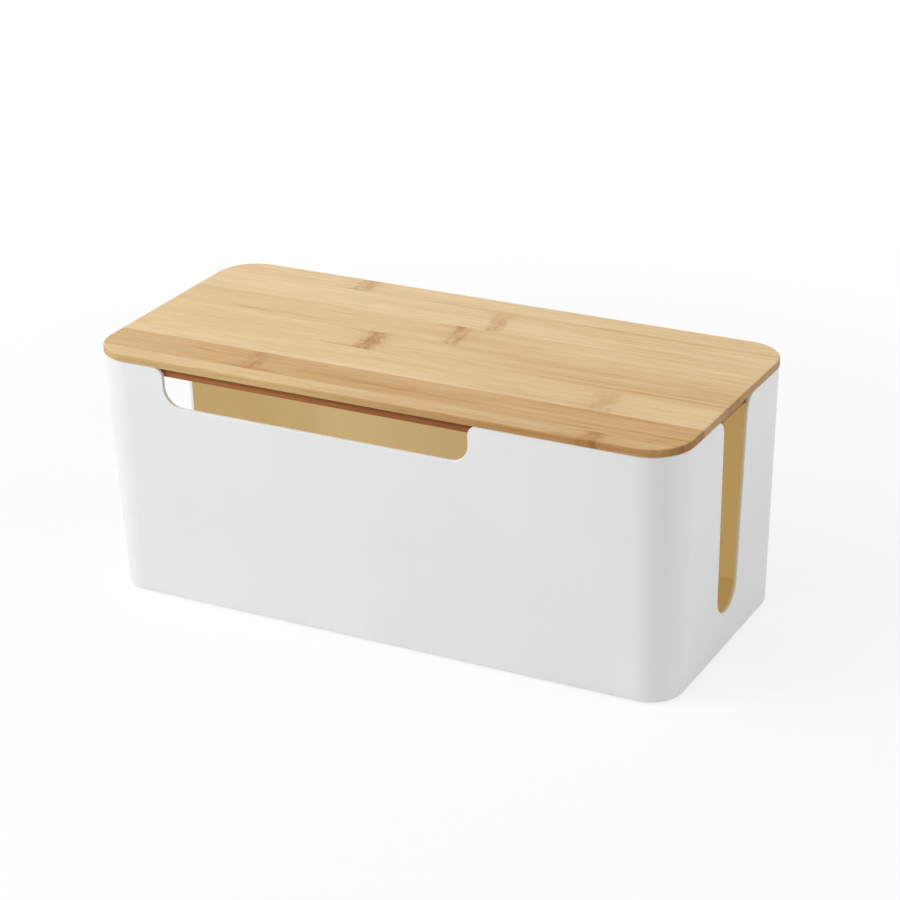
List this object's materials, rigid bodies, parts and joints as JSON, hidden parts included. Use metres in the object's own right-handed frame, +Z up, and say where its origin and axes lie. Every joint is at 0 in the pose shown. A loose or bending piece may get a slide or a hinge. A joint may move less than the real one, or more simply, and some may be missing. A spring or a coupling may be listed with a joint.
{
  "type": "router storage box",
  "caption": "Oblong box with cable slots at the front and both ends and a wooden lid that lifts off, to hide a router and its leads.",
  "frame": {"origin": "middle of the footprint, at the level the feet stand on", "axes": "+X to the right-hand end as seen from the front, -Y to the front with the long slot, +Z up"},
  "size_m": [0.32, 0.145, 0.1332],
  "materials": {
    "body": "fine satin texture, white",
    "lid": "bamboo strips glued edge to edge, clear matt lacquer",
    "feet": "soft grey anti-slip rubber"
  },
  "bodies": {
    "base": {"body": "body", "foot_front_left": "feet", "foot_front_right": "feet", "foot_back_left": "feet", "foot_back_right": "feet"},
    "lid": {"lid_strip_1": "lid", "lid_strip_2": "lid", "lid_strip_3": "lid", "lid_strip_4": "lid", "lid_strip_5": "lid", "lid_strip_6": "lid", "lid_strip_7": "lid"}
  },
  "joints": [
    {"name": "lid_lift", "type": "slide", "parent": "base", "child": "lid", "axis": [0, 0, 1], "range_m": [0, 0.12]}
  ]
}
